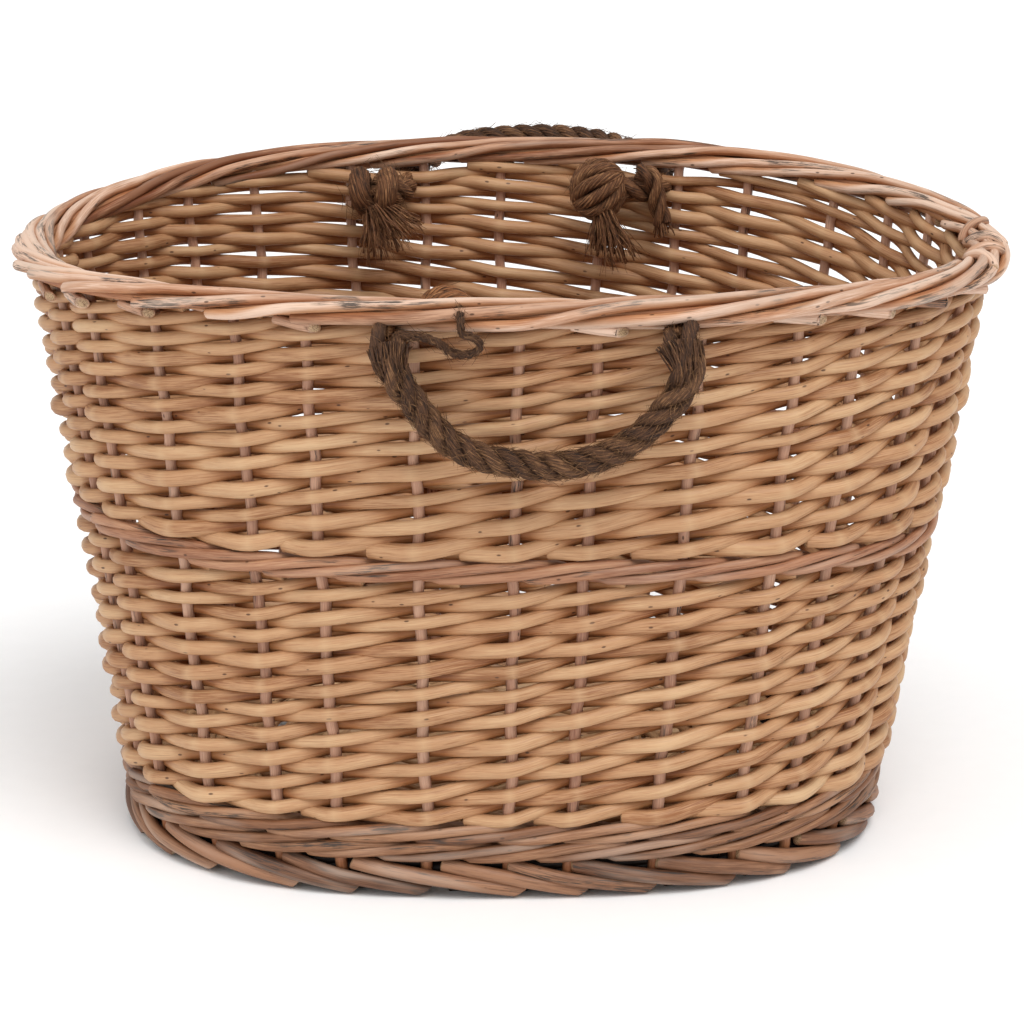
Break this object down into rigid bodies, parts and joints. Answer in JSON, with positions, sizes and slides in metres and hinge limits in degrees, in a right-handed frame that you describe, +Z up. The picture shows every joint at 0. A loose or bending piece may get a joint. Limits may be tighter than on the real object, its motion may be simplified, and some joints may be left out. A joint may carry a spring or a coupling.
{
  "type": "log basket",
  "caption": "Oval woven willow log basket with a flared wall, rolled rim, foot border and two swinging rope handles.",
  "frame": {"origin": "centre of the footprint, on the surface that the foot border stands on", "axes": "+Z up, +X along the basket's length, -Y towards the front handle, which hangs down"},
  "size_m": [0.5974, 0.5193, 0.375],
  "materials": {
    "stake": "peeled buff willow, darker upright rods",
    "weave": "smooth buff willow, satin",
    "wale": "pinkish brown buff willow, satin",
    "rim": "pinkish buff willow with dark stains, satin",
    "foot": "brown buff willow with cut ends, matt",
    "base": "brown willow sticks and weaving, matt",
    "rope": "hairy dark coir rope, matt"
  },
  "bodies": {
    "basket": {"back_left_knot": "rope", "back_right_knot": "rope", "base_weave": "base", "bottom_wale": "wale", "cross_base_stick_1": "base", "cross_base_stick_2": "base", "cross_base_stick_3": "base", "cross_base_stick_4": "base", "cross_base_stick_5": "base", "cross_base_stick_6": "base", "foot_border": "foot", "front_left_knot": "rope", "front_right_knot": "rope", "long_base_stick_1": "base", "long_base_stick_2": "base", "long_base_stick_3": "base", "lower_randing": "weave", "middle_wale": "wale", "rim_border": "rim", "stake_01": "stake", "stake_02": "stake", "stake_03": "stake", "stake_04": "stake", "stake_05": "stake", "stake_06": "stake", "stake_07": "stake", "stake_08": "stake", "stake_09": "stake", "stake_10": "stake", "stake_11": "stake", "stake_12": "stake", "stake_13": "stake", "stake_14": "stake", "stake_15": "stake", "stake_16": "stake", "stake_17": "stake", "stake_18": "stake", "stake_19": "stake", "stake_20": "stake", "stake_21": "stake", "stake_22": "stake", "stake_23": "stake", "stake_24": "stake", "stake_25": "stake", "stake_26": "stake", "stake_27": "stake", "stake_28": "stake", "stake_29": "stake", "stake_30": "stake", "stake_31": "stake", "stake_32": "stake", "upper_randing": "weave"},
    "front_handle": {"front_handle_rope": "rope"},
    "back_handle": {"back_handle_rope": "rope"}
  },
  "joints": [
    {"name": "front_handle_swing", "type": "hinge", "parent": "basket", "child": "front_handle", "pos_m": [0.014, -0.219, 0.347], "axis": [-1, 0, 0], "range_deg": [-8, 160]},
    {"name": "back_handle_swing", "type": "hinge", "parent": "basket", "child": "back_handle", "pos_m": [0.014, 0.219, 0.347], "axis": [1, 0, 0], "range_deg": [-108, 60]}
  ]
}
